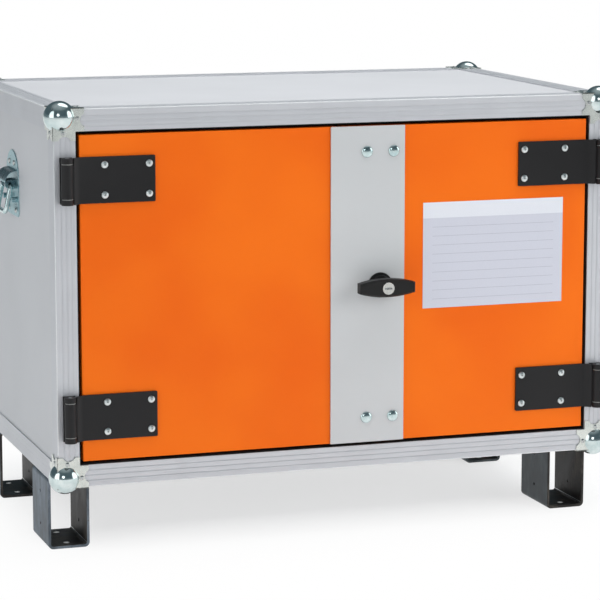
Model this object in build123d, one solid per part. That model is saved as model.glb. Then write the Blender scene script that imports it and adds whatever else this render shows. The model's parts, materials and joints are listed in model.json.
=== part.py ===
"""Two-door battery cabinet on four bent-steel feet.

An aluminium edge-profile case with zinc ball corners, fire-board lining, two flush doors on
surface hinges, a rod lock behind a centre strip, and a folding bail handle on each side.
Millimetres. +X to the right, +Y into the cabinet, +Z up; the origin is on the floor under the
middle of the whole object.
"""
import os

from build123d import *
from math import atan2, cos, degrees, radians, sin, sqrt

# ---------------------------------------------------------------- how finely round pieces are drawn
fastener_sides = 6            # rivets, screws, bolts and their holes
turned_sides = 16             # balls, hinge barrels, strap eyes and the rose
wire_sides = 8
ball_bands = 8                # bands of facets from pole to pole
dome_taper = 0.4              # how far a head's top is drawn in, in radii

# ---------------------------------------------------------------- case
body_width = 800.0
body_depth = 520.0
body_height = 510.0
profile_leg = 30.0            # width of each flange of the edge profile
profile_wall = 2.0
profile_edge_radius = 1.5
groove_places = (9.0, 16.0, 23.0)   # lengthwise grooves, from the outer edge
groove_width = 1.6
groove_depth = 0.6
panel_thickness = 6.0
lining_thickness = 12.0

# ball corners
ball_radius = 21.5
ball_inset = 11.5             # ball centre behind each outer face
corner_arm = 42.0
corner_sheet = 1.5
scallop_radius = 9.0
scallop_bite = 5.5            # how far the scallop cuts into the arm's end
corner_rivet_place = 32.5     # along the arm, from the corner
corner_rivet_side = 13.0      # across the arm, from the edge
rivet_radius = 3.0
rivet_height = 1.5

# ---------------------------------------------------------------- feet
foot_height = 100.0
foot_width = 58.0
foot_length = 95.0
foot_plate = 4.0
foot_bend = 7.0               # outer radius of the four bends
foot_lip = 17.0               # width of each bent-in top lip
front_foot_setback = 64.0
rear_foot_setback = 46.0
anchor_hole_radius = 4.5
anchor_hole_spacing = 60.0
leg_hole_radius = 2.5
leg_hole_spacing = 46.0
foot_bolt_radius = 3.0
foot_bolt_spacing = 60.0
bolt_hole_clearance = 0.2
hex_flats = 10.0
bolt_head_height = 4.0
foot_washer_half = 6.0        # half the side of the square packing washer

# ---------------------------------------------------------------- doors
door_gap = 5.0                # around the pair, to the profile's edge
meeting_gap = 6.0             # between the two doors, under the strip
door_thickness = 25.0
door_sheet = 1.5
door_edge_radius = 1.4
stop_overlap = 20.0           # how far the stop reaches inside the profile's edge
stop_depth = 30.0
seal_thickness = 3.0
seal_lining = 1.5             # seal on the sides of the rebate
seal_width = 14.0
contact_gap = 0.3             # between parts that only touch

# ---------------------------------------------------------------- hinges
hinge_height = 62.0
hinge_from_edge = 95.0        # hinge centre from the top and bottom of the case
hinge_axis_inset = 15.5       # hinge axis from the side of the case
barrel_radius = 8.2
pin_radius = 3.0
running_gap = 0.1
fixed_gap = 0.05
end_knuckle = 7.0
washer_thickness = 1.0
washer_radius = 7.4
washer_clearance = 0.2
hinge_base_plate = 2.5
hinge_base_inner = 9.0        # base plate beyond the axis, towards the door
hinge_base_outer = 7.5
barrel_clearance = 0.8        # barrel over the base plate
leaf_plate = 3.0
leaf_reach = 138.0            # far end of the leaf, from the side of the case
leaf_crank_start = 26.0       # crank of the leaf, from the side of the case
leaf_crank_end = 36.0
leaf_notch_gap = 1.0          # leaf cut back around the end knuckles
leaf_corner_radius = 1.5
hinge_screw_places = (68.5, 129.5)
hinge_screw_rise = 20.2
hinge_screw_head = 5.0
hinge_screw_head_height = 2.6
hinge_screw_radius = 2.5

# ---------------------------------------------------------------- centre strip and lock
strip_width = 107.0
strip_overlap = 14.5          # part of the strip in front of the other door
strip_sheet = 3.0
lock_x = 57.0                 # axis of the handle, from the middle of the case
strip_bolt_half_spacing = 19.5
strip_bolt_from_edge = 70.0
dome_radius = 8.25
dome_height = 3.6
strip_bolt_square = 6.0       # across the bolt's square neck
nut_height = 5.0
rose_radius = 15.0
rose_height = 6.0
rose_step_radius = 12.5
neck_radius = 9.0
spindle_size = 8.0
spindle_hole_radius = 7.0
grip_half_length = 40.0
grip_middle_height = 25.0
grip_end_height = 14.0
grip_depth = 17.0
grip_reach = 37.0             # front of the grip, from the face of the door
grip_edge = 2.5
cylinder_radius = 8.5
cylinder_depth = 12.0
cylinder_proud = 1.0
keyway_length = 10.0
keyway_width = 2.0
keyway_depth = 5.0

# rods behind the door
cam_radius = 24.0
cam_thickness = 4.0
cam_gap = 0.6                 # cam off the back of the door, and rods off the cam
cam_pin_circle = 16.0
cam_pin_radius = 3.0
rod_width = 10.0
rod_thickness = 5.0
rod_offset = 10.0             # middle of the rod beside the cam, from the axis
rod_end_clearance = 2.0       # drawn-back rod end to the keeper
yoke_height = 17.0
yoke_side = 3.2               # metal beside the yoke's slot
slot_play = 0.55              # above and below the pin
rod_clearance = 0.5           # in guides, keepers and sockets
jog_start = 30.0              # where the rod bends to the middle, from the axis
jog_length = 24.0
guide_height = 20.0
guide_sheet = 2.0
guide_foot = 27.0             # half length of the guide's foot
keeper_sheet = 2.0
keeper_half_width = 20.0
keeper_depth = 22.0

# ---------------------------------------------------------------- side handles
plate_width = 76.0
plate_height = 92.0
plate_shoulder = 56.0         # height of the straight sides
plate_sheet = 1.5
plate_corner_radius = 8.0
plate_top_from_edge = 79.0    # top of the plate below the top of the case
hood_radius = 17.0
hood_length = 56.0
hood_from_top = 26.0
bail_wire_radius = 3.5
bail_half_width = 27.5
bail_length = 38.0
bail_corner_radius = 8.0
bail_rest_angle = 12.0        # lean away from the plate at rest
bail_standoff = 8.0           # pivot off the face of the plate
strap_radius = 6.0
bail_drop = 4.5               # pivot below the edge of the hood
strap_width = 9.0
strap_place = 12.0
buffer_radius = 4.0
buffer_drop = 20.0            # buffer below the pivot
plate_rivet_half_spacing = 15.0
plate_rivet_from_top = 17.0
plate_low_rivet_half_spacing = 22.0
plate_low_rivet_from_bottom = 9.0

# ---------------------------------------------------------------- shelf
shelf_sheet = 1.5
shelf_lip = 15.0
shelf_side_gap = 2.0
shelf_front_gap = 14.0        # behind the door stop
shelf_rear_gap = 6.0
shelf_slot_length = 70.0
shelf_slot_width = 10.0
shelf_slot_columns = 6
shelf_slot_rows = 4
rail_leg = 20.0
rail_sheet = 2.0

# ================================================================ worked-out places
half_width = body_width / 2
lock_face_reach = grip_reach + cylinder_proud
ball_proud = ball_radius - ball_inset
front = -(body_depth + ball_proud - lock_face_reach) / 2    # outer face of the front profiles
rear = front + body_depth
bottom = foot_height
top = bottom + body_height
middle_z = (bottom + top) / 2

inner_x = half_width - profile_wall                # inside face of the side flanges
panel_inner_x = inner_x - panel_thickness
lined_x = panel_inner_x - lining_thickness
opening_half_width = half_width - profile_leg
opening_bottom = bottom + profile_leg
opening_top = top - profile_leg
shell_bottom = bottom + profile_wall + panel_thickness
shell_top = top - profile_wall - panel_thickness
shell_rear = rear - profile_wall - panel_thickness

door_back = front + door_thickness
seal_front = door_back + contact_gap
stop_front = seal_front + seal_thickness
stop_rear = stop_front + stop_depth
stop_half_width = opening_half_width - stop_overlap
stop_bottom = opening_bottom + stop_overlap
stop_top = opening_top - stop_overlap
lined_bottom = shell_bottom + lining_thickness
lined_top = shell_top - lining_thickness
lined_rear = shell_rear - lining_thickness

door_outer_x = opening_half_width - door_gap
door_inner_x = meeting_gap / 2
door_bottom = opening_bottom + door_gap
door_top = opening_top - door_gap

hinge_x = half_width - hinge_axis_inset
hinge_y = front - hinge_base_plate - barrel_clearance - barrel_radius
hinge_heights = (bottom + hinge_from_edge, top - hinge_from_edge)
hinge_screw_depth = (front - leaf_plate, front + door_sheet)

strip_left = -strip_overlap
strip_right = strip_left + strip_width
strip_front = front - strip_sheet
grip_front = front - grip_reach
grip_back = grip_front + grip_depth
cam_front = door_back + cam_gap
cam_back = cam_front + cam_thickness
rod_front = cam_back + cam_gap
rod_back = rod_front + rod_thickness
rod_travel = sqrt(2) * cam_pin_circle
keeper_reach = stop_top - keeper_sheet - middle_z          # keeper's inner face from the axis
rod_reach = keeper_reach - rod_end_clearance
socket_half = rod_width / 2 + rod_clearance
socket_front = rod_front - rod_clearance
socket_back = rod_back + rod_clearance
bolt_reach = body_height / 2 - strip_bolt_from_edge

handle_y = (front + rear) / 2
plate_top = top - plate_top_from_edge
plate_face_x = inner_x + plate_sheet
pivot_x = plate_face_x + bail_standoff
hood_low = plate_top - hood_from_top - hood_radius
pivot_z = hood_low - bail_drop
shelf_top = middle_z

foot_middles = (front + front_foot_setback + foot_length / 2, rear - rear_foot_setback - foot_length / 2)
foot_middle_x = half_width - foot_width / 2


# ================================================================ helpers
def block(x_range, y_range, z_range):
    """A box between two limits along each axis."""
    sizes = [high - low for low, high in (x_range, y_range, z_range)]
    centre = [(low + high) / 2 for low, high in (x_range, y_range, z_range)]
    return Pos(*centre) * Box(*sizes)


def face_on(y):
    """A drawing plane at depth y that faces the front: its x is X and its y is Z."""
    return Plane(origin=(0, y, 0), x_dir=(1, 0, 0), z_dir=(0, -1, 0))


def bar_along_y(radius, y_range, x=0.0, z=0.0):
    """A round bar that runs in depth."""
    low, high = y_range
    return face_on(high) * Pos(x, z, 0) * extrude(Circle(radius), high - low)


def polygon_along_y(radius, sides, y_range, x, z):
    """A bar with flat sides that runs in depth; radius is to its corners."""
    low, high = y_range
    return face_on(high) * Pos(x, z, 0) * extrude(RegularPolygon(radius, sides), high - low)


def hexagon_along_y(flats, y_range, x, z):
    low, high = y_range
    outline = RegularPolygon(flats / 2, 6, major_radius=False)
    return face_on(high) * Pos(x, z, 0) * extrude(outline, high - low)


def dome(radius, height, sides=fastener_sides):
    """A low domed head that stands on the XY plane, drawn as a frustum with flat sides."""
    taper = degrees(atan2(dome_taper * radius, height))
    return extrude(RegularPolygon(radius, sides), height, taper=taper)


def mirrored(shape):
    """The same piece on the other side of the cabinet."""
    return mirror(shape, about=Plane.YZ)


def save(name, *shapes):
    solids = [solid for shape in shapes for solid in shape.solids()]
    export_step(Compound(solids), f"parts/{name}.step")


# ================================================================ case
def edge_profile(length):
    """One grooved angle, mitred at both ends, standing on the origin corner along +Z."""
    section = Pos(profile_leg / 2, profile_wall / 2) * Rectangle(profile_leg, profile_wall)
    section += Pos(profile_wall / 2, profile_leg / 2) * Rectangle(profile_wall, profile_leg)
    for place in groove_places:
        section -= Pos(place, 0) * Rectangle(groove_width, 2 * groove_depth)
        section -= Pos(0, place) * Rectangle(2 * groove_depth, groove_width)
    outer_corner = section.vertices().sort_by_distance((0, 0, 0))[0]
    section = fillet(outer_corner, profile_edge_radius)
    mitre = make_face(Polyline(
        (0, 0), (profile_leg, profile_leg), (profile_leg, length - profile_leg), (0, length), close=True))
    across_x = Plane.XZ.offset(-profile_leg) * extrude(mitre, profile_leg)
    across_y = Plane(origin=(0, 0, 0), x_dir=(0, 1, 0), z_dir=(1, 0, 0)) * extrude(mitre, profile_leg)
    return extrude(section, length) & across_x & across_y


def place_profile(length, corner, along, inward):
    """Stand a profile on a corner of the case, its flanges towards the two inward directions."""
    first, second = [Vector(*direction) for direction in inward]
    axis = Vector(*along)
    x_dir = first if axis.cross(first).dot(second) > 0 else second
    return Plane(origin=corner, x_dir=x_dir, z_dir=axis) * edge_profile(length)


def case_profiles():
    profiles = {}
    for level, z, up in (("bottom", bottom, 1), ("top", top, -1)):
        for face, y, back in (("front", front, 1), ("rear", rear, -1)):
            profiles[f"profile_{level}_{face}"] = place_profile(
                body_width, (-half_width, y, z), (1, 0, 0), ((0, back, 0), (0, 0, up)))
        for side, x, inwards in (("left", -half_width, 1), ("right", half_width, -1)):
            profiles[f"profile_{level}_{side}"] = place_profile(
                body_depth, (x, front, z), (0, 1, 0), ((inwards, 0, 0), (0, 0, up)))
    for face, y, back in (("front", front, 1), ("rear", rear, -1)):
        for side, x, inwards in (("left", -half_width, 1), ("right", half_width, -1)):
            profiles[f"profile_{face}_{side}"] = place_profile(
                body_height, (x, y, bottom), (0, 0, 1), ((inwards, 0, 0), (0, back, 0)))
    return profiles


def case_panels():
    full_depth = (front + profile_wall, rear - profile_wall)
    upright = (shell_bottom, shell_top)
    left = block((-inner_x, -panel_inner_x), full_depth, upright)
    return {
        "panel_top": block((-inner_x, inner_x), full_depth, (shell_top, top - profile_wall)),
        "panel_bottom": block((-inner_x, inner_x), full_depth, (bottom + profile_wall, shell_bottom)),
        "panel_left": left,
        "panel_right": mirrored(left),
        "panel_rear": block((-panel_inner_x, panel_inner_x), (shell_rear, rear - profile_wall), upright),
    }


def lining_boards():
    depth = (stop_rear, shell_rear)
    upright = (lined_bottom, lined_top)
    left = block((-panel_inner_x, -lined_x), depth, upright)
    return {
        "lining_top": block((-panel_inner_x, panel_inner_x), depth, (lined_top, shell_top)),
        "lining_bottom": block((-panel_inner_x, panel_inner_x), depth, (shell_bottom, lined_bottom)),
        "lining_left": left,
        "lining_right": mirrored(left),
        "lining_rear": block((-lined_x, lined_x), (lined_rear, shell_rear), upright),
    }


def ball():
    """The ball of a corner fitting, drawn with flat facets from pole to pole."""
    sections = [Vertex(0, 0, -ball_radius)]
    for band in range(1, ball_bands):
        latitude = radians(180 * band / ball_bands - 90)
        ring = RegularPolygon(ball_radius * cos(latitude), turned_sides)
        sections.append(Pos(0, 0, ball_radius * sin(latitude)) * ring)
    sections.append(Vertex(0, 0, ball_radius))
    return loft(sections, ruled=True)


def ball_corner():
    """One corner fitting: the case fills the positive octant of its frame."""
    arm = block((-corner_sheet, corner_arm), (-corner_sheet, profile_leg), (-corner_sheet, 0))
    arm += block((-corner_sheet, profile_leg), (-corner_sheet, corner_arm), (-corner_sheet, 0))
    scallop = extrude(RegularPolygon(scallop_radius, turned_sides), 2 * corner_sheet, both=True)
    scallop_centre = corner_arm - scallop_bite + scallop_radius
    arm -= Pos(scallop_centre, profile_leg / 2, 0) * scallop
    arm -= Pos(profile_leg / 2, scallop_centre, 0) * scallop
    turn = Axis((0, 0, 0), (1, 1, 1))
    fitting = arm + arm.rotate(turn, 120) + arm.rotate(turn, 240)
    fitting += Pos(ball_inset, ball_inset, ball_inset) * ball()
    return fitting - block(*[(0, 2 * corner_arm)] * 3)


def corner_rivets():
    """The six rivets of one corner fitting."""
    head = Pos(0, 0, -corner_sheet) * Rot(180, 0, 0) * dome(rivet_radius, rivet_height)
    pair = [Pos(corner_rivet_place, corner_rivet_side, 0) * head,
            Pos(corner_rivet_side, corner_rivet_place, 0) * head]
    turn = Axis((0, 0, 0), (1, 1, 1))
    return [rivet.rotate(turn, angle) for rivet in pair for angle in (0, 120, 240)]


def at_all_corners(shape):
    """Copies of a corner piece at the eight corners of the case."""
    copies = []
    lower = Pos(-half_width, front, bottom) * shape
    middle_level = Plane(origin=(0, 0, middle_z), z_dir=(0, 0, 1))
    middle_depth = Plane(origin=(0, (front + rear) / 2, 0), z_dir=(0, 1, 0))
    for first in (lower, mirror(lower, about=middle_level)):
        for second in (first, mirror(first, about=middle_depth)):
            copies += [second, mirrored(second)]
    return copies


def door_surround():
    """Rebated frame behind the front profiles, of ten boards: the doors lie in it and close on its stop.

    Four boards line the opening, and the stop is battens inside them. The top and bottom battens are
    in two lengths, so that a thrown lock rod has its socket between their ends.
    """
    depth = (front + profile_wall, stop_rear)
    stop_depth_range = (stop_front, stop_rear)
    boards = []
    for low, high in ((shell_bottom, opening_bottom), (opening_top, shell_top)):
        boards.append(block((-panel_inner_x, panel_inner_x), depth, (low, high)))
    for low, high in ((opening_bottom, stop_bottom), (stop_top, opening_top)):
        boards.append(block((-opening_half_width, lock_x - socket_half), stop_depth_range, (low, high)))
        boards.append(block((lock_x + socket_half, opening_half_width), stop_depth_range, (low, high)))
    side_board = block((opening_half_width, panel_inner_x), depth, (opening_bottom, opening_top))
    side_stop = block((stop_half_width, opening_half_width), stop_depth_range, (stop_bottom, stop_top))
    return boards + [side_board, mirrored(side_board), side_stop, mirrored(side_stop)]


def rod_keeper(direction):
    """Slotted wear plate under the rod's socket, with a back that closes it: 1 is the top, -1 the bottom."""
    def level(start, end):
        """Heights from the handle's axis towards this keeper."""
        return sorted((middle_z + direction * start, middle_z + direction * end))

    plate_end = keeper_reach + keeper_sheet
    opening_reach = opening_top - middle_z
    plate = block(
        (lock_x - keeper_half_width, lock_x + keeper_half_width), (stop_front, stop_front + keeper_depth),
        level(keeper_reach, plate_end))
    across = (lock_x - socket_half, lock_x + socket_half)
    plate -= block(across, (socket_front, socket_back), level(keeper_reach, plate_end))
    back = block(across, (socket_back, socket_back + keeper_sheet), level(plate_end, opening_reach))
    return plate + back


def door_seal():
    """Rubber lining of the rebate: a thin skin on its sides and a thicker lip on the stop."""
    outer = block(
        (-opening_half_width, opening_half_width), (front + profile_wall, stop_front), (opening_bottom, opening_top))
    inside = block(
        (-opening_half_width + seal_lining, opening_half_width - seal_lining), (front, seal_front),
        (opening_bottom + seal_lining, opening_top - seal_lining))
    mouth = block(
        (-opening_half_width + seal_width, opening_half_width - seal_width), (front, stop_front),
        (opening_bottom + seal_width, opening_top - seal_width))
    return outer - inside - mouth


# ================================================================ feet
def foot():
    """One bent foot, centred over the origin, with its sole on the floor."""
    outline = Rectangle(foot_width, foot_height)
    outline = fillet(outline.vertices(), foot_bend)
    inner = Rectangle(foot_width - 2 * foot_plate, foot_height - 2 * foot_plate)
    inner = fillet(inner.vertices(), foot_bend - foot_plate)
    gap = foot_width - 2 * foot_plate - 2 * foot_lip
    outline -= inner
    outline -= Pos(0, foot_height / 2) * Rectangle(gap, 3 * foot_plate)
    piece = face_on(foot_length / 2) * Pos(0, foot_height / 2, 0) * extrude(outline, foot_length)
    for step in (-1, 1):
        piece -= Pos(0, step * anchor_hole_spacing / 2, 0) * Cylinder(anchor_hole_radius, 3 * foot_plate)
        leg_hole = Plane.YZ * extrude(RegularPolygon(leg_hole_radius, fastener_sides), foot_width, both=True)
        piece -= Pos(0, 0, foot_height / 2 + step * leg_hole_spacing / 2) * leg_hole
    return piece


def foot_bolt_places():
    """X and Y of each bolt of one foot, from the middle of the foot."""
    lip_middle = foot_width / 2 - foot_plate - foot_lip / 2
    return [(x, y) for x in (-lip_middle, lip_middle) for y in (-foot_bolt_spacing / 2, foot_bolt_spacing / 2)]


def foot_places():
    return {
        f"{end}_{side}": (x, y)
        for end, y in zip(("front", "rear"), foot_middles)
        for side, x in (("left", -foot_middle_x), ("right", foot_middle_x))
    }


def foot_bolts():
    """Bolts through the foot lips, with a packing washer where a lip lies under the bare panel."""
    lip_low = foot_height - foot_plate
    pieces = []
    for foot_x, foot_y in foot_places().values():
        for x, y in foot_bolt_places():
            place = Pos(foot_x + x, foot_y + y, 0)
            head = extrude(RegularPolygon(hex_flats / 2, 6, major_radius=False), bolt_head_height)
            shank = extrude(RegularPolygon(foot_bolt_radius, fastener_sides), shell_bottom - lip_low)
            pieces.append(place * (Pos(0, 0, lip_low - bolt_head_height) * head + Pos(0, 0, lip_low) * shank))
            if x * foot_x < 0:
                hole = RegularPolygon(foot_bolt_radius + bolt_hole_clearance, fastener_sides)
                ring = Rectangle(2 * foot_washer_half, 2 * foot_washer_half) - hole
                pieces.append(place * Pos(0, 0, foot_height) * extrude(ring, profile_wall))
    return pieces


def foot_bolt_holes():
    outline = RegularPolygon(foot_bolt_radius + bolt_hole_clearance, fastener_sides)
    hole = extrude(outline, shell_bottom - bottom + foot_plate, both=True)
    return [
        Pos(foot_x + x, foot_y + y, bottom) * hole
        for foot_x, foot_y in foot_places().values() for x, y in foot_bolt_places()
    ]


# ================================================================ doors
def door_tray():
    """Folded front skin of the right-hand door, with its four sides."""
    x_range, z_range = (door_inner_x, door_outer_x), (door_bottom, door_top)
    skin = block(x_range, (front, door_back), z_range)
    skin = fillet(skin.faces().sort_by(Axis.Y)[0].edges(), door_edge_radius)
    return skin - door_core()


def door_core():
    return block(
        (door_inner_x + door_sheet, door_outer_x - door_sheet), (front + door_sheet, door_back),
        (door_bottom + door_sheet, door_top - door_sheet))


def hinge_screw_points():
    """X and Z of the screws of the right-hand door's two leaves."""
    return [
        (half_width - place, z + rise)
        for z in hinge_heights for place in hinge_screw_places for rise in (-hinge_screw_rise, hinge_screw_rise)
    ]


def hinge_screw_holes():
    radius = hinge_screw_radius + bolt_hole_clearance
    return [
        polygon_along_y(radius, fastener_sides, hinge_screw_depth, x, z) for x, z in hinge_screw_points()
    ]


def hinge_screws():
    """Screws of the right-hand leaves, into the sheet of the door."""
    screws = []
    for x, z in hinge_screw_points():
        head = dome(hinge_screw_head, hinge_screw_head_height)
        head = face_on(front - leaf_plate) * Pos(x, z, 0) * head
        screws.append(head + polygon_along_y(hinge_screw_radius, fastener_sides, hinge_screw_depth, x, z))
    return screws


def strip_bolt_points():
    return [
        (lock_x + side * strip_bolt_half_spacing, middle_z + level * bolt_reach)
        for side in (-1, 1) for level in (-1, 1)
    ]


def square_bar(y_range, x, z, clearance=0.0):
    """The square neck of a strip bolt, or its hole."""
    half = strip_bolt_square / 2 + clearance
    return block((x - half, x + half), y_range, (z - half, z + half))


def strip_bolts():
    """Carriage bolts through strip, door and rod guide, each with its nut."""
    guide_back = door_back + guide_sheet
    pieces = []
    for x, z in strip_bolt_points():
        head = face_on(strip_front) * Pos(x, z, 0) * dome(dome_radius, dome_height, 2 * fastener_sides)
        nut_back = guide_back + nut_height
        pieces.append(head + square_bar((strip_front, nut_back), x, z))
        nut = hexagon_along_y(hex_flats, (guide_back, nut_back), x, z)
        pieces.append(nut - square_bar((guide_back, nut_back), x, z, fixed_gap))
    return pieces


def lock_door_holes():
    """What is cut through the lock door: square holes for the bolts and the bore of the spindle."""
    through = (strip_front, door_back)
    holes = [square_bar(through, x, z, bolt_hole_clearance) for x, z in strip_bolt_points()]
    return holes + [bar_along_y(spindle_hole_radius, through, lock_x, middle_z)]


def centre_strip():
    strip = block((strip_left, strip_right), (strip_front, front), (door_bottom, door_top))
    strip -= block((strip_left, door_inner_x), (front - contact_gap, front), (door_bottom, door_top))
    return strip


# ================================================================ hinges
def knuckle(z_range):
    """A length of the hinge barrel of the right-hand door, with no bore yet."""
    low, high = z_range
    return Pos(hinge_x, hinge_y, low) * extrude(RegularPolygon(barrel_radius, turned_sides), high - low)


def pin_bore(z, gap):
    """Bore for the pin of the hinge at height z, with flat sides that clear the pin."""
    outline = RegularPolygon(pin_radius + gap, fastener_sides, major_radius=False)
    return Pos(hinge_x, hinge_y, z) * extrude(outline, hinge_height, both=True)


def hinge_leaf(z):
    """Cranked leaf on the right-hand door, cut back around the end knuckles, with its middle knuckle."""
    def at(inset, lift):
        """A point of the leaf's section: inset from the side of the case, lift off the door's face."""
        return half_width - inset, front - lift

    axis_lift = front - hinge_y
    back_lift = axis_lift - 1.3 * leaf_plate
    section = make_face(Polyline(
        at(hinge_axis_inset, axis_lift), at(leaf_crank_start, axis_lift),
        at(leaf_crank_end, leaf_plate), at(leaf_reach, leaf_plate), at(leaf_reach, 0),
        at(leaf_crank_end - leaf_plate / 3, 0), at(leaf_crank_start - leaf_plate / 3, back_lift),
        at(hinge_axis_inset, back_lift), close=True))
    half = hinge_height / 2
    leaf = Pos(0, 0, z - half) * extrude(section, hinge_height)
    far_edges = leaf.edges().filter_by(Axis.Y).sort_by(Axis.X)[:2]
    leaf = fillet(far_edges, leaf_corner_radius)

    knuckle_half = half - end_knuckle - washer_thickness - 2 * washer_clearance
    notch_reach = barrel_radius + leaf_notch_gap
    for low, high in ((z - half, z - knuckle_half), (z + knuckle_half, z + half)):
        leaf -= block(
            (hinge_x - notch_reach, hinge_x + notch_reach), (hinge_y - notch_reach, front), (low, high))
    leaf += knuckle((z - knuckle_half, z + knuckle_half))
    leaf -= pin_bore(z, running_gap)
    for hole in hinge_screw_holes():
        leaf -= hole
    return leaf


def hinge_base(z):
    """Plate on the front profile with the two end knuckles that hold the pin."""
    half = hinge_height / 2
    base = block(
        (hinge_x - hinge_base_inner, hinge_x + hinge_base_outer), (front - hinge_base_plate, front),
        (z - half, z + half))
    for low, high in ((z - half, z - half + end_knuckle), (z + half - end_knuckle, z + half)):
        web = block(
            (hinge_x - 0.7 * barrel_radius, hinge_x + 0.7 * barrel_radius), (hinge_y, front), (low, high))
        base += knuckle((low, high)) + web
    return base - pin_bore(z, fixed_gap)


def hinge_pin(z):
    return Pos(hinge_x, hinge_y, z) * Cylinder(pin_radius, hinge_height)


def hinge_washers(z):
    place = hinge_height / 2 - end_knuckle - washer_clearance - washer_thickness / 2
    ring = Pos(hinge_x, hinge_y) * RegularPolygon(washer_radius, turned_sides)
    washer = Pos(0, 0, -washer_thickness / 2) * extrude(ring, washer_thickness)
    return [Pos(0, 0, z + side * place) * washer - pin_bore(z, running_gap) for side in (-1, 1)]


# ================================================================ lock
def grip():
    """T-shaped grip: a lens-shaped bar, its round neck, and the bores for lock and spindle."""
    long, tall, low = grip_half_length, grip_middle_height / 2, grip_end_height / 2
    outline = make_face([
        ThreePointArc((-long, low), (0, tall), (long, low)), Line((long, low), (long, -low)),
        ThreePointArc((long, -low), (0, -tall), (-long, -low)), Line((-long, -low), (-long, low))])
    bar = face_on(grip_back) * Pos(lock_x, middle_z, 0) * extrude(outline, grip_depth)
    rims = bar.faces().sort_by(Axis.Y)[0].edges() + bar.faces().sort_by(Axis.Y)[-1].edges()
    bar = chamfer(rims, grip_edge)
    bar += bar_along_y(neck_radius, (grip_back - grip_edge, strip_front - contact_gap), lock_x, middle_z)
    bar -= bar_along_y(
        cylinder_radius + running_gap, (grip_front, grip_front + cylinder_depth), lock_x, middle_z)
    return bar - spindle()


def spindle():
    """Square bar from the grip to the cam."""
    half = spindle_size / 2
    return block(
        (lock_x - half, lock_x + half), (grip_front + cylinder_depth + cam_gap, cam_back),
        (middle_z - half, middle_z + half))


def lock_cylinder():
    proud = grip_front - cylinder_proud
    barrel = bar_along_y(cylinder_radius, (proud, grip_front + cylinder_depth - cam_gap), lock_x, middle_z)
    keyway = block(
        (lock_x - keyway_length / 2, lock_x + keyway_length / 2), (proud, proud + keyway_depth),
        (middle_z - keyway_width / 2, middle_z + keyway_width / 2))
    return barrel - keyway


def rose():
    """Stepped rose on the strip, round the neck of the grip."""
    step = strip_front - rose_height / 2
    disc = polygon_along_y(rose_radius, turned_sides, (step, strip_front), lock_x, middle_z)
    top_face = strip_front - rose_height
    disc += polygon_along_y(rose_step_radius, turned_sides, (top_face, step), lock_x, middle_z)
    return disc - bar_along_y(neck_radius + running_gap, (top_face, strip_front), lock_x, middle_z)


def cam_pin_place(direction, angle=45.0):
    """X and Z of a cam pin at rest: direction 1 drives the upper rod, -1 the lower."""
    return (
        lock_x - direction * cam_pin_circle * cos(radians(angle)),
        middle_z - direction * cam_pin_circle * sin(radians(angle)))


def lock_cam():
    cam = polygon_along_y(cam_radius, turned_sides, (cam_front, cam_back), lock_x, middle_z) - spindle()
    for direction in (-1, 1):
        x, z = cam_pin_place(direction)
        cam += bar_along_y(cam_pin_radius, (cam_front, rod_back), x, z)
    return cam


def lock_rod():
    """Upper rod, drawn back: slotted yoke beside the axis, a jog, then a straight run to the keeper."""
    half = rod_width / 2
    slot_inner = cam_pin_circle * cos(radians(45)) - cam_pin_radius - contact_gap
    slot_outer = cam_pin_circle + cam_pin_radius + contact_gap
    slot_middle = -(slot_inner + slot_outer) / 2
    pin_level = -cam_pin_circle * sin(radians(45))
    yoke = Pos(slot_middle, pin_level) * Rectangle(slot_outer - slot_inner + 2 * yoke_side, yoke_height)
    run = make_face(Polyline(
        (-rod_offset - half, pin_level), (-rod_offset - half, jog_start), (-half, jog_start + jog_length),
        (-half, rod_reach), (half, rod_reach), (half, jog_start + jog_length), (-rod_offset + half, jog_start),
        (-rod_offset + half, pin_level), close=True))
    slot = Pos(slot_middle, pin_level) * Rectangle(slot_outer - slot_inner, 2 * (cam_pin_radius + slot_play))
    return face_on(rod_back) * Pos(lock_x, middle_z, 0) * extrude(yoke + run - slot, rod_thickness)


def rod_guide():
    """Bridge over the upper rod, held by the strip bolts."""
    inner = rod_width / 2 + rod_clearance
    outer = inner + guide_sheet
    rise = rod_back + rod_clearance
    z_range = (middle_z + bolt_reach - guide_height / 2, middle_z + bolt_reach + guide_height / 2)
    guide = block((lock_x - guide_foot, lock_x + guide_foot), (door_back, door_back + guide_sheet), z_range)
    guide += block((lock_x - outer, lock_x + outer), (door_back, rise + guide_sheet), z_range)
    guide -= block((lock_x - inner, lock_x + inner), (door_back, rise), z_range)
    for x, z in strip_bolt_points():
        hole = (door_back, door_back + guide_sheet)
        guide -= square_bar(hole, x, z, bolt_hole_clearance)
    return guide


def turned_over(shape):
    """The same lock piece for the lower half: a half turn about the handle's axis."""
    return shape.rotate(Axis((lock_x, 0, middle_z), (0, 1, 0)), 180)


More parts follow.
